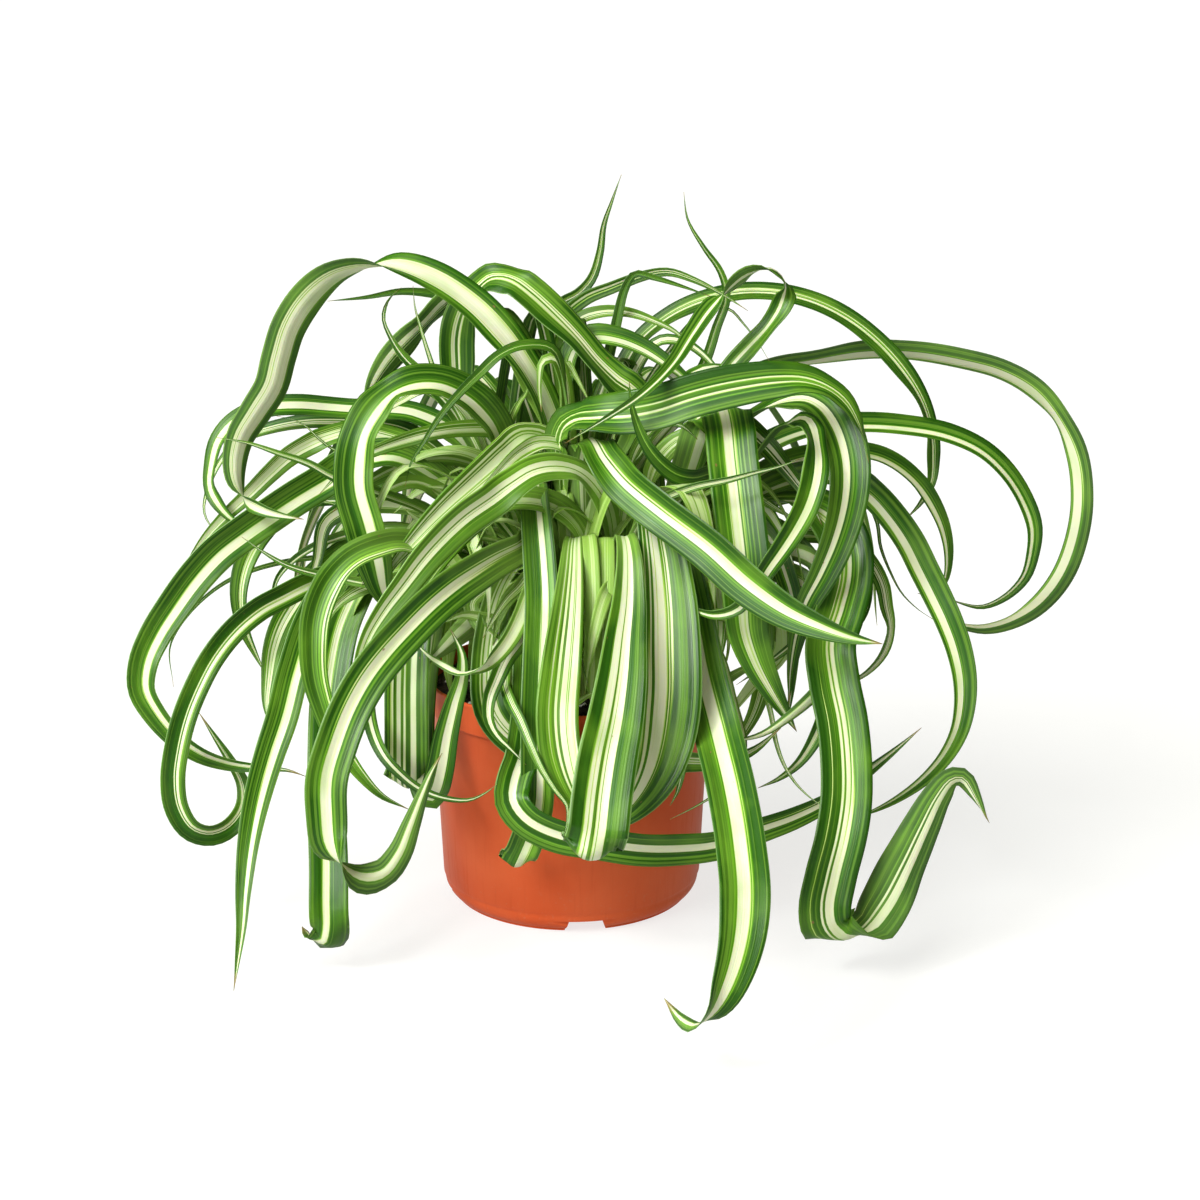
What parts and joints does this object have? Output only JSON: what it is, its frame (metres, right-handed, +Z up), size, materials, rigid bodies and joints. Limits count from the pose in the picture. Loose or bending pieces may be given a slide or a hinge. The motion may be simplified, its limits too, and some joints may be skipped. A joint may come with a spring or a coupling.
{
  "type": "potted spider plant",
  "caption": "Potted spider plant with long arching striped leaves that spill over a round plastic nursery pot filled with soil.",
  "frame": {"origin": "middle of the pot's underside, on the surface that the pot stands on", "axes": "+Z up along the pot's axis, -Y towards the viewer of the picture, +X to the viewer's right"},
  "size_m": [0.51, 0.4519, 0.3639],
  "materials": {
    "pot_plastic": "terracotta-coloured moulded plastic with a satin sheen",
    "potting_soil": "dark crumbly potting soil with pale grit",
    "leaf": "smooth leaf with green margins and a cream middle stripe"
  },
  "bodies": {
    "root": {"pot": "pot_plastic", "soil": "potting_soil", "front_tuft": "leaf", "left_tuft": "leaf", "right_tuft": "leaf", "back_tuft": "leaf"}
  },
  "joints": []
}
